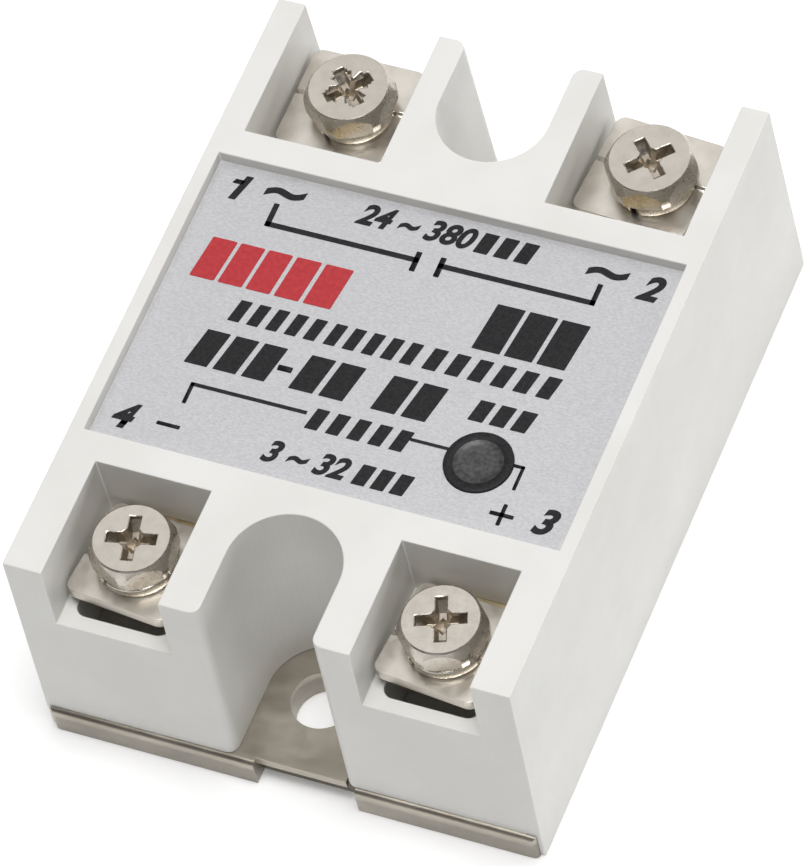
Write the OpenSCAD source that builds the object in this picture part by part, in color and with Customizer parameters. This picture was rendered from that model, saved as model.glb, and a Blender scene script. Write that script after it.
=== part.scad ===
// Panel-mount solid state relay: a moulded housing on a metal base plate,
// with four clamp terminals in its corners and a potted circuit inside.
// Millimetres. +X across the width, +Y towards terminals 1 and 2, +Z up.
// The origin is the centre of the underside of the base plate.

/* [Housing] */
// Width over the side walls
housing_w = 45; // [45:0.5:60]
// Length over the end faces, at the foot
housing_l = 61.6; // [59:0.2:80]
// Height above the base plate
housing_h = 20.5; // [20:0.1:30]
// How far each end face leans in by the top
end_lean = 0.95; // [0:0.05:1.5]
// Thickness of the side walls
wall_t = 2.2; // [1.6:0.1:3]
// Thickness of the skirts beside the base plate
skirt_t = 1.2; // [0.8:0.1:1.5]
// Thickness of the skin under the label
skin_t = 1.8; // [1.2:0.1:2.4]

/* [Mounting] */
// Thickness of the base plate
plate_t = 2.9; // [1.5:0.1:3.5]
// How far the base plate stands out past each end face
plate_lip = 0.5; // [0.3:0.1:1.5]
// Diameter of the mounting holes
hole_d = 5.4; // [4:0.1:6]
// Distance between the mounting holes
hole_pitch = 47.6; // [46:0.1:58]
// Width of the notches over the mounting holes
notch_w = 10; // [8:0.1:10.2]
// From a mounting hole to the blind end of its notch
notch_depth = 5.3; // [4:0.1:6]

/* [Terminals] */
// From a terminal screw's axis to the end face
terminal_inset = 7.1; // [6.5:0.1:9]
// From a terminal screw's axis to the side face
terminal_side = 8.7; // [8.6:0.1:8.8]
// Thickness of the wall outside terminals 3 and 4
near_outer_wall_t = 3.5; // [2:0.1:3.5]
// Thickness of the wall outside terminals 1 and 2
far_outer_wall_t = 2.5; // [2:0.1:3.4]
// Thickness of the fin between the notch and terminals 3 and 4
near_fin_t = 3.5; // [2:0.1:3.6]
// Thickness of the fin between the notch and terminals 1 and 2
far_fin_t = 2.5; // [2:0.1:3.5]
// From the housing's top down to the floor of the terminal recess
recess_depth = 7.2; // [6:0.1:9]
// From the screw's axis back to the recess wall, terminals 3 and 4
near_recess_back = 5.3; // [5.2:0.1:6]
// From the screw's axis back to the recess wall, terminals 1 and 2
far_recess_back = 7.6; // [5.2:0.1:8]
// Width of the well under the clamp plate
well_w = 8.4; // [7:0.1:9]
// Width of the ledge between the well and the end face
ledge_w = 1.5; // [1:0.1:3]
// Thickness of the terminal tabs
tab_t = 1; // [0.8:0.1:1.5]
// How far the terminal tabs stand above the recess floor
tab_rise = 1; // [0.3:0.1:1]
// Width of clamp plates 3 and 4
near_clamp_w = 9.4; // [8.5:0.1:9.5]
// Width of clamp plates 1 and 2
far_clamp_w = 10.4; // [8.5:0.1:10.6]
// Thickness of the clamp plates
clamp_t = 1.1; // [0.8:0.1:1.5]
// Turn of clamp plates 3 and 4, as tightening drags them round
near_clamp_turn = 5; // [0:0.5:6]

/* [Screws] */
// Diameter of the screw thread
thread_d = 3.9; // [3.5:0.1:4.2]
// Length of the shank under the head
screw_l = 8; // [7:0.5:9]
// Width across the flats of the heads of screws 3 and 4
near_head_af = 7; // [6:0.1:7.5]
// Width across the flats of the heads of screws 1 and 2
far_head_af = 7.4; // [6:0.1:8]
// Height of the head
head_h = 2.4; // [2:0.1:3]
// Height of the spring washer
washer_t = 1.1; // [0.8:0.1:1.2]

/* [Label and indicator] */
// Depth of the label pocket
pocket_depth = 1.2; // [0.6:0.1:1.6]
// Thickness of the rim on each side of the pocket
side_rim_t = 1.25; // [1:0.05:2]
// Thickness of the rim between the pocket and the terminal recesses
end_rim_t = 2.7; // [2.4:0.1:4]
// Thickness of the label
label_t = 0.2; // [0.1:0.05:0.4]
// Diameter of the round window in the label
window_d = 6; // [4:0.1:7]
// Distance of the window from the centre line
window_x = 11.4; // [6:0.1:14]
// Distance of the window from the pocket's edge beside terminals 3 and 4
window_inset = 6.6; // [5:0.1:10]

/* [Circuit] */
// Thickness of the circuit board
board_t = 1.6; // [1:0.1:2]
// Height of the potting resin over the base plate
potting_h = 6.5; // [6:0.1:7]
// Width of the triac's body
triac_w = 15.4; // [10:0.2:16]
// Length of the triac's body
triac_l = 14; // [10:0.2:16]
// Height of the triac's body
triac_h = 4.5; // [3:0.1:5]
// Thickness of the ceramic pad under the triac
pad_t = 0.6; // [0.4:0.1:1]

/* [Hidden] */
$fn = 64;

tip_room = 0.6;  // from a screw's tip to the floor of its well
well_floor_t = 1.2;
fit = 0.05;      // running and push-fit clearance
seam = 0.1;      // clearance between moulded or stamped pieces
cut = 1;         // how far a cutter runs past a face

// Heights above the underside of the base plate
top_z = plate_t + housing_h;
pocket_z = top_z - pocket_depth;
ceiling_z = pocket_z - skin_t;
recess_z = top_z - recess_depth;
tab_z = recess_z + tab_rise - tab_t;
clamp_z = tab_z + tab_t + fit / 2;
washer_z = clamp_z + clamp_t;
head_z = washer_z + washer_t + fit / 2;
tip_z = head_z - screw_l;
well_z = tip_z - tip_room;
board_z = plate_t + potting_h;
board_top = board_z + board_t;

// Places in plan
notch_end = hole_pitch / 2 - notch_depth;
terminal_x = housing_w / 2 - terminal_side;
terminal_y = housing_l / 2 - terminal_inset;
near_pocket_y = -(terminal_y - near_recess_back - end_rim_t);
far_pocket_y = terminal_y - far_recess_back - end_rim_t;
window_y = near_pocket_y + window_inset;
plate_l = housing_l + 2 * plate_lip;

// The room inside: between the side walls, and between the two recess walls
inner_x = housing_w / 2 - wall_t;
recess_wall_t = 2;
near_inner_y = -(terminal_y - near_recess_back - recess_wall_t);
far_inner_y = terminal_y - far_recess_back - recess_wall_t;

// Terminals 1 to 4: far left, far right, near right, near left
side_of = [0, -1, 1, 1, -1];
end_of = [0, 1, 1, -1, -1];
function back_of(n) = end_of[n] > 0 ? far_recess_back : near_recess_back;
function fin_of(n) = end_of[n] > 0 ? far_fin_t : near_fin_t;
function outer_wall_of(n) = end_of[n] > 0 ? far_outer_wall_t : near_outer_wall_t;

// Puts a terminal's piece in place. In the piece's own frame +Y points out of the housing.
module at_terminal(n) {
    translate([side_of[n] * terminal_x, end_of[n] * terminal_y, 0])
        rotate(end_of[n] > 0 ? 0 : 180)
            children();
}

// A slab centred on X and Y, with true arcs at its corners
module slab(size, r) {
    linear_extrude(size.z) {
        square([size.x - 2 * r, size.y], center = true);
        square([size.x, size.y - 2 * r], center = true);
        for (x = [-1, 1], y = [-1, 1])
            translate([x * (size.x / 2 - r), y * (size.y / 2 - r)])
                circle(r);
    }
}

// A block from y0 to y1, centred on X
module block(w, y0, y1, z0, z1) {
    translate([-w / 2, y0, z0])
        cube([w, y1 - y0, z1 - z0]);
}

// ---- Housing ----

// The outer form: its side view pushed along X, upright beside the plate and leaning above it
module housing_form() {
    foot = housing_l / 2;
    crest = foot - end_lean;
    translate([-housing_w / 2, 0, 0])
        rotate([90, 0, 90])
            linear_extrude(housing_w)
                polygon([[-foot, 0], [foot, 0], [foot, plate_t], [crest, top_z],
                    [-crest, top_z], [-foot, plate_t]]);
}

// The room inside, open at the foot, with a bay under each terminal
module inner_room(z1) {
    bay_x = notch_w / 2 + wall_t;
    bay_y = housing_l / 2 - wall_t - end_lean;
    translate([-inner_x, near_inner_y, plate_t])
        cube([2 * inner_x, far_inner_y - near_inner_y, z1 - plate_t]);
    for (x = [-1, 1])
        translate([x * (bay_x + inner_x) / 2, 0, plate_t])
            linear_extrude(min(z1, well_z - well_floor_t) - plate_t)
                square([inner_x - bay_x, 2 * bay_y], center = true);
}

module mounting_notch() {
    r = notch_w / 2;
    translate([0, 0, -cut])
        linear_extrude(top_z + 2 * cut) {
            translate([0, notch_end + r])
                circle(r);
            translate([-r, notch_end + r])
                square([notch_w, housing_l / 2 - notch_end]);
        }
}

well_corner_r = 1;
well_behind_tab = 0.5;

// Everything cut away for one terminal: the open recess, the well and the tab's way in
module terminal_cuts(n) {
    back = back_of(n);
    out = terminal_inset + cut;
    // From the fin to the outer wall, which lie on opposite sides at alternate terminals
    fin_x = terminal_x - notch_w / 2 - fin_of(n);
    wall_x = terminal_side - outer_wall_of(n);
    translate([side_of[n] * end_of[n] > 0 ? -fin_x : -wall_x, -back, recess_z])
        cube([fin_x + wall_x, back + out, recess_depth + cut]);
    well_out = terminal_inset - ledge_w - end_lean / 2;
    well_back = -(tab_front_y + well_behind_tab);
    translate([0, (well_out + well_back) / 2, well_z])
        slab([well_w, well_out - well_back, recess_z - well_z + cut], well_corner_r);
    block(tab_w + 2 * seam, -back - recess_wall_t - cut, well_back + cut, tab_z, tab_z + tab_t + seam);
}

module housing() {
    color("#f2f1ec")
    difference() {
        housing_form();
        // The base plate's seat, between the skirts
        block(housing_w - 2 * skirt_t, -housing_l / 2 - cut, housing_l / 2 + cut, -cut, plate_t);
        inner_room(ceiling_z);
        for (turn = [0, 180])
            rotate(turn)
                mounting_notch();
        for (n = [1:4])
            at_terminal(n)
                terminal_cuts(n);
        // The label's pocket and the indicator's hole
        block(housing_w - 2 * side_rim_t, near_pocket_y, far_pocket_y, pocket_z, top_z + cut);
        translate([window_x, window_y, ceiling_z - cut])
            cylinder(h = skin_t + 2 * cut, d = stem_d + 2 * fit);
    }
}

// ---- Base plate ----

// In the middle of each end the plate is relieved from below, beside a narrow slit
relief_w = 8.2;
relief_x = -0.8;
relief_in = 1.5;
relief_lip_t = 0.9;
slit_w = 1;
edge_r = 0.5;
strip_short = 0.8;    // how much narrower than the housing the end strips are

module plate_plan() {
    body_w = housing_w - 2 * skirt_t - 2 * seam;
    strip_w = housing_w - strip_short;
    strip_y = housing_l / 2 + fit;
    translate([-body_w / 2, -plate_l / 2])
        square([body_w, plate_l]);
    for (y = [-1, 1], x = [-1, 1]) {
        translate([0, y * (strip_y + plate_l / 2) / 2])
            square([strip_w - 2 * edge_r, plate_l / 2 - strip_y], center = true);
        translate([x * (strip_w / 2 - edge_r), y * (plate_l / 2 - edge_r)])
            intersection() {
                circle(edge_r);
                translate([-edge_r, y > 0 ? strip_y - (plate_l / 2 - edge_r) : -edge_r])
                    square([2 * edge_r, plate_l / 2 - strip_y]);
            }
    }
}

module plate_side() {
    square([plate_l, plate_t - edge_r]);
    translate([edge_r, 0])
        square([plate_l - 2 * edge_r, plate_t]);
    for (y = [edge_r, plate_l - edge_r])
        translate([y, plate_t - edge_r])
            circle(edge_r);
}

module end_relief() {
    y1 = plate_l / 2;
    translate([relief_x - relief_w / 2, y1 - relief_in, -cut])
        cube([relief_w, relief_in + cut, plate_t - relief_lip_t + cut]);
    translate([relief_x - relief_w / 2, y1 - relief_in / 2, -cut])
        cube([relief_w, relief_in, plate_t + 2 * cut]);
    translate([relief_x - relief_w / 2 - slit_w, y1 - relief_in, -cut])
        cube([slit_w, relief_in + cut, plate_t + 2 * cut]);
}

module base_plate() {
    color("#c9c2b4")
    difference() {
        intersection() {
            linear_extrude(plate_t)
                plate_plan();
            translate([-housing_w / 2, -plate_l / 2, 0])
                rotate([90, 0, 90])
                    linear_extrude(housing_w)
                        plate_side();
        }
        for (turn = [0, 180])
            rotate(turn) {
                translate([0, hole_pitch / 2, -cut])
                    cylinder(h = plate_t + 2 * cut, d = hole_d);
                end_relief();
            }
    }
}

// ---- Label and indicator ----

stem_d = 4.4;         // the lens's stem in the housing
flange_t = 0.35;      // the lens's flange in the label's window

label_gap = 0.15;

module front_label() {
    color("#cbccd0")
    difference() {
        block(housing_w - 2 * side_rim_t - 2 * label_gap, near_pocket_y + label_gap,
            far_pocket_y - label_gap, pocket_z, pocket_z + label_t);
        translate([window_x, window_y, pocket_z - cut])
            cylinder(h = 2 * cut, d = window_d);
    }
}

module indicator_lens() {
    color("#6f6f73")
    translate([window_x, window_y, 0]) {
        translate([0, 0, ceiling_z])
            cylinder(h = skin_t, d = stem_d);
        translate([0, 0, pocket_z])
            cylinder(h = flange_t, d = window_d - 2 * fit);
    }
}

// A 3 mm lamp on two legs, its dome just under the lens
module indicator_led() {
    r = 1.5;
    rim = [0.3, 0.9];     // how far the foot's rim stands out, and its height
    dome_gap = 0.3;
    body_h = 3.3;
    leg_pitch = 2.54;
    leg = 0.5;
    dome_z = ceiling_z - dome_gap - r;
    base_z = dome_z - body_h;
    color("#c23b33")
    translate([window_x, window_y, 0]) {
        translate([0, 0, base_z])
            cylinder(h = rim.y, r = r + rim.x);
        translate([0, 0, base_z])
            cylinder(h = dome_z - base_z, r = r);
        translate([0, 0, dome_z])
            sphere(r);
        for (x = [-leg_pitch / 2, leg_pitch / 2])
            translate([x, 0, 0])
                block(leg, -leg / 2, leg / 2, board_top, base_z + rim.y / 2);
    }
}

// ---- Circuit ----

board_gap = 0.3;
lead_w = 1.2;
lead_t = 0.6;
lead_pitch = 5.4;
lead_z = 1.4;         // height of the leads inside the triac's body
lead_l = 2;           // how far the leads run out before they bend up
lead_root = 1;        // how far the leads reach into the body
lead_stub = 0.8;      // how far the leads stand out of the board
triac_y = 2.2;        // the triac sits a little towards terminals 1 and 2
triac_y0 = triac_y - triac_l / 2;
triac_y1 = triac_y + triac_l / 2;
triac_z = plate_t + pad_t;
lead_y = triac_y0 - lead_l;
pad_rim = 1;          // how far the pad stands out round the body

module circuit_board() {
    y0 = near_inner_y + board_gap;
    y1 = far_inner_y - board_gap;
    color("#3c6b44")
    difference() {
        block(2 * (inner_x - board_gap), y0, y1, board_z, board_top);
        for (i = [-1:1])
            translate([i * lead_pitch - lead_w / 2 - seam, lead_y - seam, board_z - cut])
                cube([lead_w + 2 * seam, lead_t + 2 * seam, board_t + 2 * cut]);
        for (n = [1:4], x = [-1, 1])
            at_terminal(n)
                translate([x * foot_pitch / 2 - foot_w / 2 - seam, riser_y(n) - seam, board_z - cut])
                    cube([foot_w + 2 * seam, tab_t + 2 * seam, board_t + 2 * cut]);
    }
}

// The ceramic pad, the triac bedded on it, and its three leads up through the board
module pad_form(below) {
    block(triac_w + 2 * pad_rim, triac_y0 - pad_rim, triac_y1 + pad_rim, plate_t - below, triac_z);
}

module insulating_pad() {
    color("#e8e6dc")
    pad_form(0);
}

// The triac's body and leads, with the leads cut off at a height
module triac_form(lead_top) {
    block(triac_w, triac_y0, triac_y1, triac_z, triac_z + triac_h);
    for (i = [-1:1])
        translate([i * lead_pitch, 0, triac_z + lead_z]) {
            block(lead_w, lead_y, triac_y0 + lead_root, 0, lead_t);
            block(lead_w, lead_y, lead_y + lead_t, 0, lead_top - triac_z - lead_z);
        }
}

module triac() {
    color("#2b2b2d")
    union()
        triac_form(board_top + lead_stub);
}

// Gull-wing package: a body with three feet on each side
module optocoupler() {
    place = [-1, 0.8];
    body = [8.6, 6.4, 3.4];
    foot = [1.2, 1.6, 0.4];
    stand = 0.1;
    foot_root = 0.2;
    pitch = 2.54;
    color("#262628")
    translate([place.x, place.y, board_top])
        union() {
            translate([-body.x / 2, -body.y / 2, stand])
                cube(body);
            for (i = [-1:1], y = [-1, 1])
                translate([i * pitch - foot.x / 2,
                        y * (body.y / 2 + foot.y / 2 - foot_root) - foot.y / 2, 0])
                    cube(foot);
        }
}

module input_transistor() {
    place = [9.6, -2.4];
    body_r = 2.3;
    body_h = 4.6;
    flat_y = 1.3;
    stand = 2;
    leg = 0.5;
    pitch = 1.27;
    color("#202022")
    translate([place.x, place.y, board_top])
        union() {
            translate([0, 0, stand])
                linear_extrude(body_h)
                    difference() {
                        circle(body_r);
                        translate([-body_r, flat_y])
                            square([2 * body_r, body_r]);
                    }
            for (i = [-1:1])
                translate([i * pitch, 0, 0])
                    block(leg, -leg / 2, leg / 2, 0, stand + cut);
        }
}

// An axial part lying along Y on bent legs of square wire
module axial_part(body_d, body_l, span) {
    leg = 0.5;
    clear = 0.3;
    rise = body_d / 2 + clear;
    union() {
        translate([0, -body_l / 2, rise])
            rotate([-90, 0, 0])
                cylinder(h = body_l, d = body_d);
        block(leg, -span / 2, span / 2, rise - leg / 2, rise + leg / 2);
        for (y = [-1, 1])
            translate([0, y * (span - leg) / 2, 0])
                block(leg, -leg / 2, leg / 2, 0, rise);
    }
}

// Two half-watt resistors side by side
module resistor_pair(place, pitch) {
    for (x = [-pitch / 2, pitch / 2])
        translate([place.x + x, place.y, board_top])
            axial_part(2.3, 6.2, 8.6);
}

module input_resistors() {
    color("#c9b48a")
    resistor_pair([17, -8], 2.8);
}

module gate_resistors() {
    color("#8fb0c4")
    resistor_pair([10.1, 7], 3.4);
}

module protection_diode() {
    place = [2.6, -11];
    color("#333336")
    translate([place.x, place.y, board_top])
        axial_part(2.7, 5, 8);
}

module snubber_capacitor() {
    place = [-12.2, 6.6];
    size = [12, 5, 7.4];
    color("#b8702e")
    translate([place.x, place.y, board_top])
        slab(size, 0.8);
}

// Resin poured over the triac, up to the board
module potting_resin() {
    color("#3a3a3c")
    difference() {
        inner_room(board_z);
        pad_form(cut);
        triac_form(board_z + cut);
        for (n = [1:4], x = [-1, 1])
            at_terminal(n)
                translate([x * foot_pitch / 2 - foot_w / 2, riser_y(n), board_z - foot_drop])
                    cube([foot_w, tab_t, foot_drop + cut]);
    }
}

// ---- Terminals ----

tab_w = 8;
tab_front_y = 2.8;    // how far a tab runs out past the screw's axis
foot_w = 2;
foot_pitch = 5;
foot_drop = 1;        // how far the feet reach below the board
riser_gap = 0.8;      // from the recess wall to the part of a tab that goes down
function riser_y(n) = -back_of(n) - recess_wall_t - riser_gap - tab_t;

// A bent strip: flat under the clamp, through the recess wall, and down to two feet in the board
module terminal_tab(n) {
    y0 = riser_y(n);
    color("#b9a06a")
    at_terminal(n)
        difference() {
            union() {
                block(tab_w, y0, tab_front_y, tab_z, tab_z + tab_t);
                block(tab_w, y0, y0 + tab_t, board_top, tab_z + tab_t);
                for (x = [-1, 1])
                    translate([x * foot_pitch / 2, 0, 0])
                        block(foot_w, y0, y0 + tab_t, board_z - foot_drop, board_top + cut);
            }
            translate([0, 0, tab_z - cut])
                cylinder(h = tab_t + 2 * cut, d = thread_d + 2 * fit);
        }
}

// Where the clamp plates rest: plates 1 and 2 lie a little to one side of their screws, and
// tightening has dragged plates 2, 3 and 4 round
far_clamp_aside = -0.6;
clamp_turn = [0, 0, 4, near_clamp_turn, near_clamp_turn];

// A square plate with a crease by the screw, nicked where the crease meets its edges
module clamp_plate(n) {
    w = end_of[n] > 0 ? far_clamp_w : near_clamp_w;
    aside = end_of[n] > 0 ? far_clamp_aside : 0;
    back = 4.6;
    front = end_of[n] > 0 ? 5.4 : 4.6;
    crease_y = 0.7;
    corner_r = 0.9;
    groove = 0.35;
    rib_pitch = 0.7;
    rib_short = 1.8;
    hole_gap = 0.4;
    color("#cfc9bd")
    at_terminal(n)
        rotate(-clamp_turn[n])
            difference() {
                translate([aside, (front - back) / 2, clamp_z])
                    slab([w, front + back, clamp_t], corner_r);
                translate([aside, crease_y, clamp_z + clamp_t])
                    rotate([45, 0, 0])
                        cube([w + 2 * cut, groove, groove], center = true);
                for (x = [-1, 1])
                    translate([aside + x * w / 2, crease_y, clamp_z + clamp_t / 2])
                        rotate(45)
                            cube([groove, groove, clamp_t + 2 * cut], center = true);
                // Ribs on the underside grip the wire
                for (i = [1:3])
                    translate([aside, front - i * rib_pitch, clamp_z])
                        rotate([45, 0, 0])
                            cube([w - rib_short, groove, groove], center = true);
                translate([0, 0, clamp_z - cut])
                    cylinder(h = clamp_t + 2 * cut, d = thread_d + hole_gap);
            }
}

// A split ring. The slot leans across it, as the ring is cut from a coil.
module spring_washer(n) {
    outer_d = thread_d + 3.2;
    slot_w = 0.5;
    slot_lean = 25;
    color("#c4bdb0")
    at_terminal(n)
        difference() {
            translate([0, 0, washer_z])
                cylinder(h = washer_t, d = outer_d);
            translate([0, 0, washer_z - cut])
                cylinder(h = washer_t + 2 * cut, d = thread_d + 6 * fit);
            translate([0, outer_d / 2, washer_z + washer_t / 2])
                rotate([0, slot_lean, 0])
                    cube([slot_w, outer_d, 4 * washer_t], center = true);
        }
}

// Cross recess: two slots, and a tapered centre with a pointed floor
module cross_recess() {
    slot_l = 4.3;
    slot_w = 1;
    slot_depth = 1.1;
    point_depth = 1.7;
    for (turn = [0, 90])
        rotate(turn)
            translate([-slot_l / 2, -slot_w / 2, head_z + head_h - slot_depth])
                cube([slot_l, slot_w, slot_depth + cut]);
    translate([0, 0, head_z + head_h - point_depth])
        cylinder(h = point_depth, r1 = 0.5, r2 = 1.05);
}

// Hexagonal head with a turned top, plain shank with a chamfered tip
module terminal_screw(n) {
    head_af = end_of[n] > 0 ? far_head_af : near_head_af;
    rim_d = head_af - 0.35;
    corner_d = head_af / cos(30);
    beyond = 0.2;
    chamfer_h = 0.75;
    tip_h = 0.6;
    color("#d2ccc0")
    at_terminal(n)
        difference() {
            union() {
                intersection() {
                    translate([0, 0, head_z])
                        rotate(30)
                            cylinder(h = head_h, d = corner_d, $fn = 6);
                    union() {
                        translate([0, 0, head_z])
                            cylinder(h = head_h - chamfer_h, d = corner_d + beyond);
                        translate([0, 0, head_z + head_h - chamfer_h])
                            cylinder(h = chamfer_h, d1 = corner_d + beyond, d2 = rim_d);
                    }
                }
                translate([0, 0, tip_z + tip_h])
                    cylinder(h = screw_l - tip_h + beyond, d = thread_d);
                translate([0, 0, tip_z])
                    cylinder(h = tip_h, d1 = thread_d - 2 * tip_h, d2 = thread_d);
            }
            cross_recess();
        }
}

housing();
base_plate();
front_label();
indicator_lens();
indicator_led();
circuit_board();
triac();
insulating_pad();
optocoupler();
input_transistor();
input_resistors();
gate_resistors();
protection_diode();
snubber_capacitor();
potting_resin();
terminal_tab(1);  // terminal_tab_1
terminal_tab(2);  // terminal_tab_2
terminal_tab(3);  // terminal_tab_3
terminal_tab(4);  // terminal_tab_4
clamp_plate(1);  // clamp_plate_1
clamp_plate(2);  // clamp_plate_2
clamp_plate(3);  // clamp_plate_3
clamp_plate(4);  // clamp_plate_4
spring_washer(1);  // spring_washer_1
spring_washer(2);  // spring_washer_2
spring_washer(3);  // spring_washer_3
spring_washer(4);  // spring_washer_4
terminal_screw(1);  // terminal_screw_1
terminal_screw(2);  // terminal_screw_2
terminal_screw(3);  // terminal_screw_3
terminal_screw(4);  // terminal_screw_4
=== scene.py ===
"""A panel-mount solid state relay, put together from the heat-sink plate up, then set in a plain
studio. Every length in the sections is in millimetres unless its name says otherwise."""

import math

import bmesh
import bpy
from mathutils import Matrix, Vector


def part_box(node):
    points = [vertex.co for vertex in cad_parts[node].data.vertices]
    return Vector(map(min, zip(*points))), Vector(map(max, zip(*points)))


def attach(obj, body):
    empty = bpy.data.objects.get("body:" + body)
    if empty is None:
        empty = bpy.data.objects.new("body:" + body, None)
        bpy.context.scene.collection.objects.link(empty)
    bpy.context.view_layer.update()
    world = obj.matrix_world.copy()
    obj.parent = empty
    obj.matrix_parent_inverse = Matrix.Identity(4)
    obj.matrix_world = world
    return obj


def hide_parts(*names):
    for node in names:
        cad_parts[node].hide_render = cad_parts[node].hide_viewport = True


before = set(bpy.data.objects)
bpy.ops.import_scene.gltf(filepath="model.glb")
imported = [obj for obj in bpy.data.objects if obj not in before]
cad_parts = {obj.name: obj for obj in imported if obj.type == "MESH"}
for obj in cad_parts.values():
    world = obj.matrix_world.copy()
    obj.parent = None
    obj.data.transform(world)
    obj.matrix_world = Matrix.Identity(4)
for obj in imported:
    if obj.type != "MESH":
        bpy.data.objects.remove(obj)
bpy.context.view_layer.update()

# ---- Base plate --------------------------------------------------------------------------------
# The relay stands on a stamped steel plate, nickel plated, that carries its heat to a heat sink.
# Its upper edges are rolled by the punch, and the plating is a dull warm grey with cloudy patches.
MM = 0.001


def merged_copy(node):
    """A bmesh of a CAD node with its loose triangles joined and its flat faces made whole."""
    bm = bmesh.new()
    bm.from_mesh(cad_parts[node].data)
    bmesh.ops.remove_doubles(bm, verts=bm.verts, dist=0.002 * MM)
    bmesh.ops.dissolve_limit(bm, angle_limit=math.radians(0.5), verts=bm.verts, edges=bm.edges)
    return bm


def round_off(bm, radius, steps, wanted, least_angle=25):
    """Rounds the sharp edges that wanted(middle of the edge) picks, all by one radius."""
    sharp = []
    for edge in bm.edges:
        if len(edge.link_faces) != 2 or edge.calc_face_angle(0) < math.radians(least_angle):
            continue
        if wanted((edge.verts[0].co + edge.verts[1].co) / 2 / MM):
            sharp.append(edge)
    bmesh.ops.bevel(bm, geom=sharp, offset=radius * MM, offset_type="OFFSET", segments=steps,
                    profile=0.5, material=-1, affect="EDGES", clamp_overlap=True)


def in_order(bm):
    """The same surface with its points and faces sorted by place, because operators shuffle them."""
    points = sorted(bm.verts, key=lambda point: point.co.to_tuple(7))
    rank = {point: place for place, point in enumerate(points)}
    rows = []
    for face in bm.faces:
        corners = [rank[point] for point in face.verts]
        first = corners.index(min(corners))
        rows.append((corners[first:] + corners[:first], face.material_index))
    fresh = bmesh.new()
    made = [fresh.verts.new(point.co) for point in points]
    for corners, material in sorted(rows):
        outline = [made[place] for place in corners]
        if fresh.faces.get(outline) is None:
            fresh.faces.new(outline).material_index = material
    fresh.normal_update()
    bm.free()
    return fresh


def place_piece(bm, name, body, finishes, stands_for=(), flat=lambda face: False):
    """Turns a bmesh into a finished piece that rides on a body and takes a slot's finish."""
    bm = in_order(bm)
    for face in bm.faces:
        face.smooth = not flat(face)
    mesh = bpy.data.meshes.new(name)
    bm.to_mesh(mesh)
    bm.free()
    for finish in finishes:
        mesh.materials.append(finish)
    piece = bpy.data.objects.new(name, mesh)
    bpy.context.scene.collection.objects.link(piece)
    even = piece.modifiers.new("even shading", "WEIGHTED_NORMAL")
    even.keep_sharp = True
    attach(piece, body)
    if stands_for:
        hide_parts(*stands_for)
    return piece


def new_finish(name, sockets):
    """A material whose even values sit on the shader's own sockets."""
    finish = bpy.data.materials.new(name)
    finish.use_nodes = True
    shader = finish.node_tree.nodes["Principled BSDF"]
    for socket, value in sockets.items():
        shader.inputs[socket].default_value = value
    return finish


def grain(finish, size, stretch=(1, 1, 1), detail=4.0):
    """Noise of one grain size in millimetres, drawn out along the axes by stretch."""
    nodes, links = finish.node_tree.nodes, finish.node_tree.links
    place = nodes.new("ShaderNodeTexCoord")
    scale = nodes.new("ShaderNodeMapping")
    scale.vector_type = "TEXTURE"
    scale.inputs["Scale"].default_value = Vector(stretch) * size * MM
    noise = nodes.new("ShaderNodeTexNoise")
    noise.inputs["Scale"].default_value = 1.0
    noise.inputs["Detail"].default_value = detail
    links.new(place.outputs["Object"], scale.inputs["Vector"])
    links.new(scale.outputs["Vector"], noise.inputs["Vector"])
    return noise.outputs["Fac"]


def vary(finish, socket, pattern, low, high, start=0.35, end=0.65):
    """Drives a socket from low to high where the pattern goes from start to end."""
    nodes, links = finish.node_tree.nodes, finish.node_tree.links
    shader = nodes["Principled BSDF"]
    if isinstance(low, (int, float)):
        reach = nodes.new("ShaderNodeMapRange")
        reach.inputs["From Min"].default_value = start
        reach.inputs["From Max"].default_value = end
        reach.inputs["To Min"].default_value = low
        reach.inputs["To Max"].default_value = high
        links.new(pattern, reach.inputs["Value"])
        links.new(reach.outputs["Result"], shader.inputs[socket])
    else:
        ramp = nodes.new("ShaderNodeValToRGB")
        ramp.color_ramp.elements[0].position = start
        ramp.color_ramp.elements[0].color = (*low, 1)
        ramp.color_ramp.elements[1].position = end
        ramp.color_ramp.elements[1].color = (*high, 1)
        links.new(pattern, ramp.inputs["Fac"])
        links.new(ramp.outputs["Color"], shader.inputs[socket])


def relief(finish, pattern, depth, strength):
    """Adds fine relief of this depth in millimetres over whatever relief is there already."""
    nodes, links = finish.node_tree.nodes, finish.node_tree.links
    normal = nodes["Principled BSDF"].inputs["Normal"]
    bump = nodes.new("ShaderNodeBump")
    bump.inputs["Strength"].default_value = strength
    bump.inputs["Distance"].default_value = depth * MM
    links.new(pattern, bump.inputs["Height"])
    if normal.links:
        links.new(normal.links[0].from_socket, bump.inputs["Normal"])
    links.new(bump.outputs["Normal"], normal)


plate_nickel = new_finish("plate nickel", {"Metallic": 1.0})
vary(plate_nickel, "Base Color", grain(plate_nickel, 4.0, (2, 1, 1)), (0.38, 0.345, 0.29),
     (0.48, 0.44, 0.38))
vary(plate_nickel, "Roughness", grain(plate_nickel, 1.2, (1.5, 1, 1), 2.0), 0.28, 0.38)
relief(plate_nickel, grain(plate_nickel, 0.25, (1.5, 1, 1), 2.0), 0.005, 0.35)
relief(plate_nickel, grain(plate_nickel, 3.0, detail=1.0), 0.01, 0.2)

PLATE_EDGE_RADIUS = 0.14
PLATE_FOOT_Z = 0.05

plate = merged_copy("base_plate")
round_off(plate, PLATE_EDGE_RADIUS, 2, lambda middle: middle.z > PLATE_FOOT_Z)
place_piece(plate, "heat_plate", "root", [plate_nickel], ["base_plate"])

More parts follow.
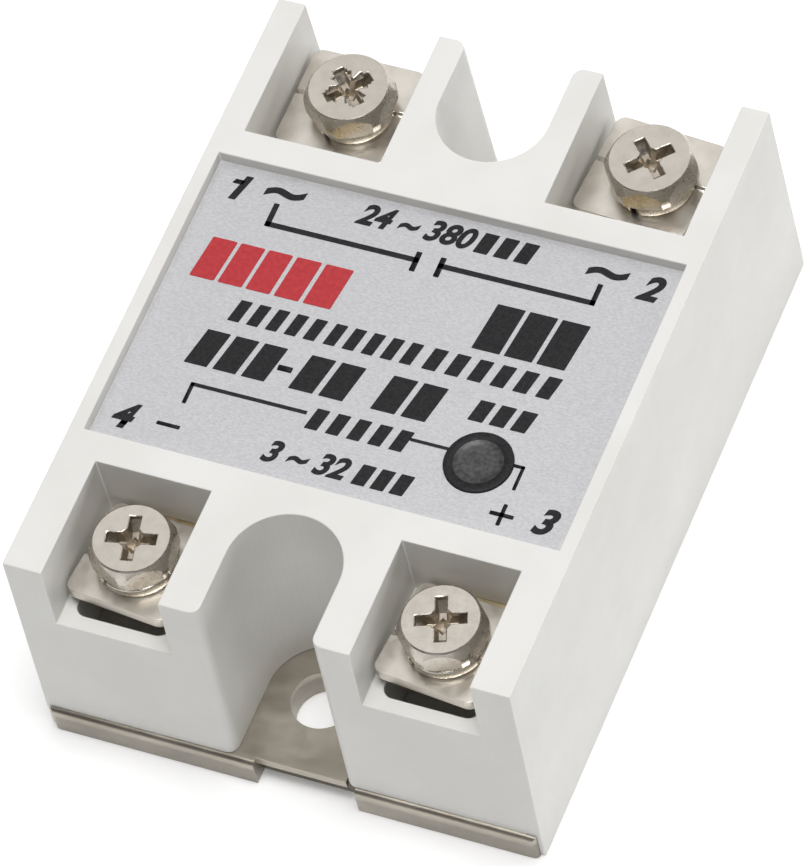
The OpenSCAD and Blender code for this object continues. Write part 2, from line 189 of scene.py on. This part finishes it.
# ---- Housing -----------------------------------------------------------------------------------
# One injection moulding in warm white flame-proof plastic, pushed over the plate so that its
# skirts hide the plate's sides. Every edge that a hand meets is rounded by the mould, and the
# corners beside the notches are rounded more. The skin has the mould's fine satin texture.
MOUTH_RADIUS = 0.9
EDGE_RADIUS = 0.32

white_plastic = new_finish("white plastic", {
    "Specular IOR Level": 0.45, "Subsurface Weight": 0.12, "Subsurface Scale": 0.6 * MM,
    "Subsurface Radius": (1.0, 0.8, 0.6)})
vary(white_plastic, "Base Color", grain(white_plastic, 9.0), (0.745, 0.735, 0.705),
     (0.785, 0.778, 0.752))
vary(white_plastic, "Roughness", grain(white_plastic, 1.5), 0.38, 0.5)
relief(white_plastic, grain(white_plastic, 0.16, detail=2.0), 0.006, 0.6)
relief(white_plastic, grain(white_plastic, 3.0, detail=1.0), 0.02, 0.4)

NOTCH_HALF_W = 5
MOUTH_REACH = 1.2
MOUTH_FOOT_Z = 3
HOUSING_FOOT_Z = 0.1
# What no hand meets. Each is its reach from the centre line, then along Y, then in height.
HIDDEN = [
    (0, 20.4, -16.5, 14.2, 0, 20.5),          # the room for the circuit
    (7.1, 20.4, -27.8, 27.8, 0, 9.8),         # the bays under the terminals
    (6, 22.5, -18.35, 16.05, 0, 17.4),        # the slots that the tabs go through
    (9.5, 18.1, -18.5, 16.2, 16.25, 17.4),    # the mouths of those slots
]

housing = merged_copy("housing")
mouth_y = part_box("housing")[1].y / MM - MOUTH_REACH


def on_a_mouth(middle):
    """True at the corners between a notch and the end face."""
    beside_notch = abs(abs(middle.x) - NOTCH_HALF_W) < 0.1
    return beside_notch and abs(middle.y) > mouth_y and middle.z > MOUTH_FOOT_Z


def on_the_outside(middle):
    """False in the hidden rooms and on the edges that stand on the table."""
    for x0, x1, y0, y1, z0, z1 in HIDDEN:
        if x0 <= abs(middle.x) < x1 and y0 < middle.y < y1 and z0 <= middle.z < z1:
            return False
    return middle.z > HOUSING_FOOT_Z


def is_plane(face):
    """True for the moulding's flat faces, which are shaded flat beside the rounded edges."""
    return max(map(abs, face.normal)) > 0.9999 or face.calc_area() > 6e-6


round_off(housing, MOUTH_RADIUS, 5, on_a_mouth)
round_off(housing, EDGE_RADIUS, 3, on_the_outside)
place_piece(housing, "moulded_housing", "root", [white_plastic], ["housing"],
            is_plane)

# ---- Label -------------------------------------------------------------------------------------
# A brushed aluminium foil sticker in the pocket on top. It is a hair off the pocket's walls, and
# its fine grain runs along the relay's width.
label_foil = new_finish("brushed foil", {"Metallic": 0.35, "Specular IOR Level": 0.4})
vary(label_foil, "Base Color", grain(label_foil, 0.12, (2.5, 1, 1), 3.0), (0.50, 0.50, 0.515),
     (0.60, 0.60, 0.62))
vary(label_foil, "Roughness", grain(label_foil, 0.5, (4, 1, 1)), 0.36, 0.5)
relief(label_foil, grain(label_foil, 0.1, (5, 1, 1), 2.0), 0.004, 0.6)

foil = merged_copy("front_label")
place_piece(foil, "foil_label", "root", [label_foil], ["front_label"])

# ---- Print on the label ------------------------------------------------------------------------
# Screen-printed black ink: the four terminals' numbers, the signs beside them, the voltage
# ranges in figures, and the two circuit lines. Rows of plain slanted strokes, in black and in
# red, stand where the words are, as a printer fills in text that isn't set yet.
INK_T = 0.03
SLANT = 0.21
label_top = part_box("front_label")[1].z / MM

black_ink = new_finish("black ink", {"Specular IOR Level": 0.2})
vary(black_ink, "Base Color", grain(black_ink, 0.3), (0.010, 0.010, 0.012), (0.022, 0.021, 0.022))
vary(black_ink, "Roughness", grain(black_ink, 0.8), 0.42, 0.6)
relief(black_ink, grain(black_ink, 0.12), 0.004, 0.5)
red_ink = new_finish("red ink", {"Specular IOR Level": 0.35})
vary(red_ink, "Base Color", grain(red_ink, 0.4), (0.42, 0.022, 0.030), (0.50, 0.034, 0.040))
vary(red_ink, "Roughness", grain(red_ink, 0.8), 0.42, 0.6)
relief(red_ink, grain(red_ink, 0.12), 0.004, 0.5)


def print_stroke(bm, x0, x1, y0, y1, slant=0.0, corner=0.06):
    """One printed stroke, from x0 to x1 at its foot, leaning to the right as it rises."""
    made = bmesh.ops.create_cube(bm, size=1)["verts"]
    bmesh.ops.scale(bm, verts=made, vec=((x1 - x0) * MM, (y1 - y0) * MM, INK_T * MM))
    bmesh.ops.translate(bm, verts=made, vec=(0, (y1 - y0) / 2 * MM, 0))
    lean = Matrix.Identity(4)
    lean[0][1] = slant
    bmesh.ops.transform(bm, matrix=lean, verts=made)
    bmesh.ops.translate(bm, verts=made,
                        vec=((x0 + x1) / 2 * MM, y0 * MM, (label_top + INK_T / 2) * MM))
    posts = [e for e in dict.fromkeys(e for v in made for e in v.link_edges)
             if abs((e.verts[0].co - e.verts[1].co).normalized().z) > 0.9]
    bmesh.ops.bevel(bm, geom=posts, offset=corner * MM, offset_type="OFFSET", segments=2,
                    profile=0.5, material=-1, affect="EDGES")


def print_figures(bm, words, x, y, height, bold, slant=0.3, stretch=1.0):
    """Slanted figures whose left foot is at x, y, and which are height tall."""
    curve = bpy.data.curves.new("figures", "FONT")
    curve.body = words
    curve.size = height / 0.73
    curve.shear = slant
    curve.offset = bold
    curve.extrude = INK_T / 2
    curve.resolution_u = 6
    shape = bpy.data.objects.new("figures", curve)
    bpy.context.scene.collection.objects.link(shape)
    mesh = bpy.data.meshes.new_from_object(shape)
    bpy.data.objects.remove(shape)
    bpy.data.curves.remove(curve)
    low_x = min(v.co.x for v in mesh.vertices)
    low_y = min(v.co.y for v in mesh.vertices)
    mesh.transform(Matrix.Translation((-low_x, -low_y, INK_T / 2)))
    mesh.transform(Matrix.Diagonal((stretch * MM, MM, MM, 1)))
    mesh.transform(Matrix.Translation((x * MM, y * MM, label_top * MM)))
    bm.from_mesh(mesh)
    bpy.data.meshes.remove(mesh)


ink = bmesh.new()
# The output circuit's line, open in the middle like a switch
for x0, x1, y0, y1 in [(-15.0, -14.5, 8.0, 10.4), (-15.0, -0.9, 8.0, 8.5), (-1.4, -0.9, 7.1, 9.1),
                       (0.8, 1.3, 7.1, 9.1), (0.8, 14.95, 8.0, 8.5), (14.5, 14.95, 8.0, 10.2)]:
    print_stroke(ink, x0, x1, y0, y1)
# The input circuit's line, which passes through the indicator's window
for x0, x1, y0, y1 in [(-14.75, -14.4, -10.5, -8.35), (-14.75, -4.2, -8.7, -8.35),
                       (5.1, 8.7, -8.7, -8.4), (14.1, 15.3, -8.7, -8.4), (15.0, 15.3, -10.8, -8.4)]:
    print_stroke(ink, x0, x1, y0, y1)
# Plus and minus
print_stroke(ink, 14.05, 16.15, -13.5, -13.13)
print_stroke(ink, 14.93, 15.28, -14.35, -12.25)
print_stroke(ink, -16.0, -13.9, -13.05, -12.7)
# The one has a flag
print_stroke(ink, -19.1, -18.45, 9.8, 12.35, 0.3)
print_stroke(ink, -19.35, -18.45, 11.4, 11.85, 0.5)
print_figures(ink, "~", -16.3, 10.95, 3.2, 0.13, slant=0.1, stretch=1.35)
print_figures(ink, "~", 13.05, 10.8, 3.2, 0.13, slant=0.1, stretch=1.35)
print_figures(ink, "2", 17.9, 9.65, 2.45, 0.13)
print_figures(ink, "3", 17.9, -14.25, 2.45, 0.13)
print_figures(ink, "4", -19.9, -14.25, 2.45, 0.13)
print_figures(ink, "24 ~ 380", -7.7, 10.35, 2.1, 0.10, stretch=0.98)
print_figures(ink, "3 ~ 32", -6.3, -13.95, 2.1, 0.10, stretch=0.98)


def print_row(bm, x0, x1, y0, y1, count, filled=0.74, slant=SLANT):
    """A row of evenly spaced strokes between x0 and x1, each filling part of its own space."""
    pitch = (x1 - x0) / (count - 1 + filled)
    for step in range(count):
        print_stroke(bm, x0 + step * pitch, x0 + (step + filled) * pitch, y0, y1, slant)


# After the ranges' figures, above the input line, and beside the two larger rows
print_row(ink, 3.1, 8.0, 10.35, 12.45, 3, 0.7)
print_row(ink, 1.9, 6.5, -13.95, -11.9, 3, 0.7)
print_row(ink, -3.9, 4.8, -9.95, -7.85, 5, 0.6)
print_row(ink, 8.9, 14.0, -5.4, -3.3, 3, 0.7)
# The wide row, three words long
for x0, x1, count in [(-14.3, -6.4, 5), (-5.6, 2.3, 5), (3.3, 14.7, 6)]:
    print_row(ink, x0, x1, -1.75, 0.45, count, 0.6)
# The tall row: three strokes, a dash, two strokes and two more
for x0, x1, count in [(-16.2, -8.9, 3), (-6.7, -1.8, 2), (0.7, 5.6, 2)]:
    print_row(ink, x0, x1, -6.65, -3.05, count, 0.8)
print_stroke(ink, -8.3, -7.0, -5.25, -4.7)
# One dark block of three broad strokes at the right
print_row(ink, 6.6, 14.9, 1.3, 6.0, 3, 0.86, 0.12)
place_piece(ink, "black_print", "root", [black_ink])

red = bmesh.new()
for x0, x1 in [(-19.2, -16.95), (-16.6, -14.4), (-14.05, -11.85), (-11.45, -9.2), (-8.8, -6.3)]:
    print_stroke(red, x0, x1, 1.6, 5.8, 0.12, 0.12)
place_piece(red, "red_print", "root", [red_ink])

# ---- Indicator ---------------------------------------------------------------------------------
# A smoky polycarbonate light pipe behind the label's round window, with a black ring printed
# round its face. The lamp under it is off.
stem_low, lens_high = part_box("indicator_lens")
lens_x = (stem_low.x + lens_high.x) / 2 / MM
lens_y = (stem_low.y + lens_high.y) / 2 / MM
flange_r = (lens_high.x - stem_low.x) / 2 / MM
STEM_R = 2.2
FLANGE_T = 0.35
RING_W = 0.82

lens_grey = new_finish("smoky lens", {"Specular IOR Level": 0.5})
vary(lens_grey, "Base Color", grain(lens_grey, 0.4, detail=6.0), (0.022, 0.022, 0.024),
     (0.066, 0.066, 0.067))
vary(lens_grey, "Roughness", grain(lens_grey, 0.7), 0.4, 0.5)
relief(lens_grey, grain(lens_grey, 0.35), 0.02, 0.6)


def lathe(outline, segments):
    """A bmesh of an outline of (radius, height) points turned once round Z."""
    bm = bmesh.new()
    points = [bm.verts.new((r * MM, 0, z * MM)) for r, z in outline]
    edges = [bm.edges.new(pair) for pair in zip(points, points[1:])]
    bmesh.ops.spin(bm, geom=points + edges, cent=(0, 0, 0), axis=(0, 0, 1), dvec=(0, 0, 0),
                   angle=math.tau, steps=segments, use_merge=True)
    bmesh.ops.remove_doubles(bm, verts=bm.verts, dist=0.001 * MM)
    bmesh.ops.recalc_face_normals(bm, faces=bm.faces)
    return bm


foot_z = stem_low.z / MM
face_z = lens_high.z / MM
seat_z = face_z - FLANGE_T
lens = lathe([(0, foot_z), (STEM_R - 0.1, foot_z), (STEM_R, foot_z + 0.1), (STEM_R, seat_z),
              (flange_r - 0.05, seat_z), (flange_r, seat_z + 0.05), (flange_r, face_z - 0.1),
              (flange_r - 0.03, face_z - 0.03), (flange_r - 0.1, face_z),
              (flange_r - RING_W, face_z), (flange_r - RING_W - 0.06, face_z - 0.06),
              (1.2, face_z - 0.05), (0, face_z - 0.05)], 72)
for face in lens.faces:
    middle = face.calc_center_median() / MM
    if middle.z > seat_z and Vector((middle.x, middle.y)).length > flange_r - RING_W - 0.02:
        face.material_index = 1
bmesh.ops.translate(lens, verts=lens.verts, vec=(lens_x * MM, lens_y * MM, 0))
place_piece(lens, "indicator_window", "root", [lens_grey, black_ink], ["indicator_lens"])

# ---- Clamp plates ------------------------------------------------------------------------------
# A stamped, nickel-plated steel plate under each terminal screw. A crease across its middle lets
# it rock on the wire, and its corners are rounded. It rises and falls with the screw.
clamp_nickel = new_finish("clamp nickel", {"Metallic": 1.0})
vary(clamp_nickel, "Base Color", grain(clamp_nickel, 2.2), (0.64, 0.595, 0.53), (0.76, 0.715, 0.65))
vary(clamp_nickel, "Roughness", grain(clamp_nickel, 0.9), 0.28, 0.36)
relief(clamp_nickel, grain(clamp_nickel, 3.0, detail=1.0), 0.02, 0.3)
relief(clamp_nickel, grain(clamp_nickel, 0.15, detail=2.0), 0.006, 0.5)

CLAMP_EDGE_RADIUS = 0.12

for n in range(1, 5):
    clamp = merged_copy(f"clamp_plate_{n}")
    round_off(clamp, CLAMP_EDGE_RADIUS, 2, lambda middle: True, 30)
    place_piece(clamp, f"clamp_{n}_plate", f"clamp_{n}", [clamp_nickel],
                [f"clamp_plate_{n}"])

# ---- Spring washers ----------------------------------------------------------------------------
# A split ring of square spring-steel wire, nickel plated, that keeps each screw from working
# loose. Screwed down flat it still shows its cut, with one end a little above the other.
SPLIT_ANGLE = {1: 250, 2: 262, 3: 240, 4: 240}
SPLIT_GAP = 9
WIRE_H = 0.98
WIRE_W = 1.45
WIRE_CORNER = 0.16
WASHER_STEPS = 72

washer_nickel = new_finish("washer nickel", {"Metallic": 1.0})
vary(washer_nickel, "Base Color", grain(washer_nickel, 1.0), (0.62, 0.57, 0.48), (0.76, 0.71, 0.63))
vary(washer_nickel, "Roughness", grain(washer_nickel, 0.6), 0.2, 0.32)
relief(washer_nickel, grain(washer_nickel, 0.12, detail=2.0), 0.008, 0.5)

for n in range(1, 5):
    low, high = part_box(f"spring_washer_{n}")
    axis_at = (low + high) / 2
    outer = (high.x - low.x) / 2 / MM
    inner = outer - WIRE_W
    rise = (high.z - low.z) / MM - WIRE_H
    wire = bmesh.new()
    corners = [(inner, 0), (outer, 0), (outer, WIRE_H), (inner, WIRE_H)]
    section = wire.faces.new([wire.verts.new((r * MM, 0, z * MM)) for r, z in corners])
    bmesh.ops.bevel(wire, geom=list(section.verts), offset=WIRE_CORNER * MM, segments=3,
                    profile=0.5, material=-1, affect="VERTICES", offset_type="OFFSET")
    bmesh.ops.spin(wire, geom=wire.verts[:] + wire.edges[:] + wire.faces[:], cent=(0, 0, 0),
                   axis=(0, 0, 1), dvec=(0, 0, rise / WASHER_STEPS * MM),
                   angle=math.radians(360 - SPLIT_GAP), steps=WASHER_STEPS, use_merge=False)
    bmesh.ops.recalc_face_normals(wire, faces=wire.faces)
    bmesh.ops.rotate(wire, verts=wire.verts, cent=(0, 0, 0),
                     matrix=Matrix.Rotation(math.radians(SPLIT_ANGLE[n] + SPLIT_GAP / 2), 3, "Z"))
    bmesh.ops.translate(wire, verts=wire.verts, vec=(axis_at.x, axis_at.y, low.z))
    place_piece(wire, f"clamp_{n}_spring_washer", f"clamp_{n}", [washer_nickel],
                [f"spring_washer_{n}"])

# ---- Terminal screws ---------------------------------------------------------------------------
# Nickel-plated hexagon screws. The top is turned, which leaves a cone that meets the flats in
# shallow arcs, and the cross recess is punched with a tapered tool. The one at terminal 1 has
# been driven with a worn bit, which has cut extra gashes between the arms of its cross.
CROSS_TURN = {1: 47, 2: 45, 3: 20, 4: 12}
HEXAGON_TURN = {1: -94, 2: -111.5, 3: -100, 4: -82.5}
HEAD_H = 2.4
SHANK_R = 1.95
CROSS_ARM = 0.98
CROSS_SPAN = 4.3
CROSS_HEART = 1.95
GASH_W = 0.42
PUNCHED_R = 2.6
LIP_RADIUS = 0.07
CORNER_RADIUS = 0.12
TIP_CHAMFER = 0.6
# Extra cuts at a screw: how far each is turned from the cross, and its span
GASHES = {1: [(22, 3.6), (64, 3.3), (-14, 3.9)], 2: [(12, 3.2)]}

screw_nickel = new_finish("screw nickel", {"Metallic": 1.0})
vary(screw_nickel, "Base Color", grain(screw_nickel, 1.3), (0.56, 0.515, 0.455), (0.62, 0.575, 0.515))
vary(screw_nickel, "Roughness", grain(screw_nickel, 0.5), 0.24, 0.34)
relief(screw_nickel, grain(screw_nickel, 0.9), 0.012, 0.5)
relief(screw_nickel, grain(screw_nickel, 0.12, detail=2.0), 0.004, 0.5)
# The faces inside the cross recess take a darker nickel, which is painted shade for the shadow that
# falls in the recess.
recess_shade_nickel = new_finish("nickel with painted recess shade", {"Metallic": 1.0})
vary(recess_shade_nickel, "Base Color", grain(recess_shade_nickel, 0.6), (0.38, 0.335, 0.275), (0.52, 0.47, 0.40))
vary(recess_shade_nickel, "Roughness", grain(recess_shade_nickel, 0.3), 0.28, 0.45)
relief(recess_shade_nickel, grain(recess_shade_nickel, 0.25), 0.01, 0.5)


def punch(bm, inside, depth, narrowing):
    """Sinks the flat faces that inside(middle) picks, narrowing them towards the axis."""
    sunk = [face for face in bm.faces
            if face.normal.z > 0.99 and inside(face.calc_center_median() / MM)]
    made = bmesh.ops.extrude_face_region(bm, geom=sunk)["geom"]
    bmesh.ops.delete(bm, geom=sunk, context="FACES")
    moved = [item for item in made if isinstance(item, bmesh.types.BMVert)]
    bmesh.ops.translate(bm, verts=moved, vec=(0, 0, -depth * MM))
    bmesh.ops.scale(bm, verts=moved, vec=(narrowing, narrowing, 1))


def cross_cut(bm, top, turn, arm, span):
    """Scores a cross into the flat top so that its arms can be sunk."""
    for angle in (turn, turn + 90):
        side = Vector((math.cos(math.radians(angle)), math.sin(math.radians(angle)), 0))
        for reach in (arm / 2, -arm / 2, span / 2, -span / 2):
            flat = [f for f in bm.faces
                    if f.normal.z > 0.99 and f.calc_center_median().z > top * MM - 1e-6]
            scored = flat + list(dict.fromkeys(e for f in flat for e in f.edges))
            scored += dict.fromkeys(v for f in flat for v in f.verts)
            bmesh.ops.bisect_plane(bm, geom=scored, dist=1e-7, plane_co=side * reach * MM,
                                   plane_no=side)


def is_turned_flat(face):
    """True for the top, the hexagon's flats and the recess, which are shaded flat."""
    on_a_side = abs(face.normal.z) < 0.01 and face.calc_area() > 1e-6
    return face.material_index == 1 or face.normal.z > 0.999 or on_a_side


def screw_body(n):
    """The whole screw on the origin's axis, not yet punched, and the height of its top."""
    low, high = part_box(f"terminal_screw_{n}")
    tip, top = low.z / MM, high.z / MM
    under = top - HEAD_H
    flats = (high.x - low.x) / 2 / MM - 0.06
    disc = flats - 0.1
    corner = flats * 1.1
    bm = lathe([(0, tip), (SHANK_R - TIP_CHAMFER, tip), (SHANK_R, tip + TIP_CHAMFER), (SHANK_R, under),
                (corner - 0.3, under), (corner, under + 0.3), (corner, top - 0.95),
                (disc + 0.02, top - 0.16), (disc - 0.02, top - 0.06), (disc - 0.12, top), (0, top)], 120)
    for step in range(6):
        angle = math.radians(HEXAGON_TURN[n] + 30 + 60 * step)
        side = Vector((math.cos(angle), math.sin(angle), 0))
        bmesh.ops.bisect_plane(bm, geom=bm.verts[:] + bm.edges[:] + bm.faces[:], dist=1e-7,
                               plane_co=side * flats * MM, plane_no=side, clear_outer=True)
        bmesh.ops.edgeloop_fill(bm, edges=[edge for edge in bm.edges if edge.is_boundary])
    bmesh.ops.recalc_face_normals(bm, faces=bm.faces)
    bm = in_order(bm)
    bmesh.ops.dissolve_limit(bm, angle_limit=math.radians(0.05), verts=bm.verts, edges=bm.edges)
    corners = [e for e in bm.edges
               if len(e.link_faces) == 2 and e.calc_face_angle(0) > math.radians(40)
               and abs((e.verts[0].co - e.verts[1].co).normalized().z) > 0.9]
    bmesh.ops.bevel(bm, geom=corners, offset=CORNER_RADIUS * MM, offset_type="OFFSET", segments=2,
                    profile=0.5, material=-1, affect="EDGES")
    return in_order(bm), top


def in_cuts(middle, cuts, deepest):
    """True inside any of the cuts (turn, arm width, span) that reaches this far down."""
    if middle.z < deepest:
        return False
    for angle, arm, span in cuts:
        turned = Matrix.Rotation(math.radians(-angle), 3, "Z") @ middle
        across, along = sorted((abs(turned.x), abs(turned.y)))
        if across < arm / 2 and along < span / 2:
            return True
    return False


for n in range(1, 5):
    screw, top = screw_body(n)
    cross = [(CROSS_TURN[n], CROSS_ARM, CROSS_SPAN), (CROSS_TURN[n] + 45, CROSS_HEART, CROSS_HEART)]
    gashes = [(CROSS_TURN[n] + turn, GASH_W, span) for turn, span in GASHES.get(n, [])]
    heart = [(CROSS_TURN[n] + 45, CROSS_HEART * 0.6, CROSS_HEART * 0.6)]
    for turn, arm, span in cross + gashes:
        cross_cut(screw, top, turn, arm, span)
    punch(screw, lambda middle: in_cuts(middle, cross + gashes, top - 0.01), 0.4, 0.97)
    punch(screw, lambda middle: in_cuts(middle, cross, top - 0.5), 0.75, 0.62)
    punch(screw, lambda middle: in_cuts(middle, heart, top - 1.2), 0.5, 0.35)
    lip = [e for e in screw.edges if len(e.link_faces) == 2
           and e.calc_face_angle(0) > math.radians(50)
           and min(v.co.z for v in e.verts) > (top - 0.01) * MM
           and max(v.co.xy.length for v in e.verts) < PUNCHED_R * MM]
    bmesh.ops.bevel(screw, geom=lip, offset=LIP_RADIUS * MM, offset_type="OFFSET", segments=2,
                    profile=0.5, material=-1, affect="EDGES")
    # Painted shade: the faces sunk in the cross recess take the darker nickel.
    for face in screw.faces:
        middle = face.calc_center_median() / MM
        if middle.xy.length < PUNCHED_R - 0.3 and top - 2.2 < middle.z < top - 0.08:
            face.material_index = 1
    low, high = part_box(f"terminal_screw_{n}")
    axis_at = (low + high) / 2
    bmesh.ops.translate(screw, verts=screw.verts, vec=(axis_at.x, axis_at.y, 0))
    place_piece(screw, f"screw_{n}_screw", f"screw_{n}",
                [screw_nickel, recess_shade_nickel], [f"terminal_screw_{n}"], is_turned_flat)

# ---- Terminal tabs -----------------------------------------------------------------------------
# Bent brass strips that carry each terminal's current through the recess wall to the board.
tab_brass = new_finish("tab brass", {"Metallic": 1.0})
vary(tab_brass, "Base Color", grain(tab_brass, 1.5), (0.50, 0.40, 0.24), (0.70, 0.60, 0.40))
vary(tab_brass, "Roughness", grain(tab_brass, 0.8), 0.3, 0.5)
relief(tab_brass, grain(tab_brass, 0.3), 0.01, 0.5)
for n in range(1, 5):
    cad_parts[f"terminal_tab_{n}"].data.materials.clear()
    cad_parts[f"terminal_tab_{n}"].data.materials.append(tab_brass)

# ---- Circuit -----------------------------------------------------------------------------------
# What the housing hides: a green board with its components, over a triac on a ceramic pad, all
# set in dark resin. Each keeps its own shape and takes a finish of two near colours.
INSIDE = {
    "circuit_board": ("board green", 0.8, (0.030, 0.120, 0.045), (0.055, 0.175, 0.070)),
    "triac": ("package black", 0.4, (0.018, 0.018, 0.020), (0.034, 0.034, 0.036)),
    "insulating_pad": ("pad ceramic", 0.5, (0.72, 0.71, 0.66), (0.82, 0.81, 0.77)),
    "optocoupler": ("optocoupler black", 0.4, (0.016, 0.016, 0.018), (0.030, 0.030, 0.033)),
    "input_transistor": ("transistor black", 0.3, (0.014, 0.014, 0.015), (0.028, 0.028, 0.030)),
    "input_resistors": ("resistor tan", 0.5, (0.50, 0.38, 0.22), (0.62, 0.50, 0.32)),
    "gate_resistors": ("resistor blue", 0.5, (0.22, 0.38, 0.48), (0.32, 0.48, 0.58)),
    "protection_diode": ("diode black", 0.4, (0.020, 0.020, 0.022), (0.040, 0.040, 0.043)),
    "snubber_capacitor": ("capacitor orange", 1.0, (0.42, 0.14, 0.030), (0.54, 0.21, 0.055)),
    "potting_resin": ("dark resin", 2.0, (0.030, 0.030, 0.032), (0.052, 0.052, 0.055)),
    "indicator_led": ("lamp red", 0.6, (0.46, 0.040, 0.030), (0.60, 0.075, 0.055)),
}
for node, (name, size, dark, light) in INSIDE.items():
    finish = new_finish(name, {"Specular IOR Level": 0.45})
    vary(finish, "Base Color", grain(finish, size), dark, light)
    vary(finish, "Roughness", grain(finish, size / 2), 0.36, 0.55)
    relief(finish, grain(finish, size / 4), 0.01, 0.5)
    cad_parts[node].data.materials.clear()
    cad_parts[node].data.materials.append(finish)

# ---- Studio ------------------------------------------------------------------------------------
# A plain white table, a soft light overhead, weaker ones to the right, in front and past the far
# end, a panel that the metal mirrors, and the camera above the near right corner, leaning a little.
TABLE_DROP = 0.05
studio_floor = bmesh.new()
bmesh.ops.create_grid(studio_floor, x_segments=1, y_segments=1, size=2.0)
bmesh.ops.translate(studio_floor, verts=studio_floor.verts, vec=(0, 0, -TABLE_DROP * MM))
floor_mesh = bpy.data.meshes.new("table_top")
studio_floor.to_mesh(floor_mesh)
studio_floor.free()
table_white = new_finish("table white", {
    "Roughness": 0.9, "Specular IOR Level": 0.1, "Emission Color": (1, 1, 1, 1),
    "Emission Strength": 0.16})
vary(table_white, "Base Color", grain(table_white, 60.0), (0.93, 0.93, 0.93), (0.95, 0.95, 0.95))
floor_mesh.materials.append(table_white)
table_top = bpy.data.objects.new("table_top", floor_mesh)
bpy.context.scene.collection.objects.link(table_top)


def soft_light(name, watts, width, height, place, aim):
    """A rectangular soft box at a place, facing a point, both in metres."""
    light = bpy.data.lights.new(name, "AREA")
    light.shape = "RECTANGLE"
    light.size = width
    light.size_y = height
    light.energy = watts
    lamp = bpy.data.objects.new(name, light)
    bpy.context.scene.collection.objects.link(lamp)
    lamp.location = place
    lamp.rotation_euler = (Vector(aim) - Vector(place)).to_track_quat("-Z", "Y").to_euler()


soft_light("overhead", 2.9, 0.3, 0.3, (0.06, -0.04, 0.62), (0, 0, 0.01))
soft_light("right side", 0.75, 0.45, 0.2, (0.46, 0.38, 0.16), (0, 0, 0.01))
soft_light("front", 0.1, 0.3, 0.15, (0.02, -0.6, 0.26), (0, 0, 0.01))
soft_light("far end", 0.42, 0.35, 0.2, (0.2, 0.62, 0.2), (0, 0, 0.01))
soft_light("far left panel", 0.9, 0.6, 0.6, (-0.26, 0.39, 0.59), (0, 0, 0.01))

world = bpy.data.worlds.new("studio")
bpy.context.scene.world = world
world.use_nodes = True
world.node_tree.nodes["Background"].inputs["Color"].default_value = (1, 1, 1, 1)
world.node_tree.nodes["Background"].inputs["Strength"].default_value = 0.16
bpy.context.scene.view_settings.view_transform = "Standard"

AIM = Vector((0.201, -2.158, 12.0)) * MM
AZIMUTH, ELEVATION, LEAN = math.radians(34.948), math.radians(55.073), math.radians(-15.623)
DISTANCE = 592.9 * MM
toward_camera = Vector((math.sin(AZIMUTH) * math.cos(ELEVATION),
                        -math.cos(AZIMUTH) * math.cos(ELEVATION), math.sin(ELEVATION)))
camera_lens = bpy.data.cameras.new("camera")
camera_lens.lens = 294.44
camera_lens.sensor_width = 36
camera_lens.clip_start = 0.01
camera = bpy.data.objects.new("camera", camera_lens)
bpy.context.scene.collection.objects.link(camera)
facing = (-toward_camera).to_track_quat("-Z", "Y").to_matrix().to_4x4()
camera.matrix_world = (Matrix.Translation(AIM + toward_camera * DISTANCE) @ facing
                       @ Matrix.Rotation(LEAN, 4, "Z"))
bpy.context.scene.camera = camera
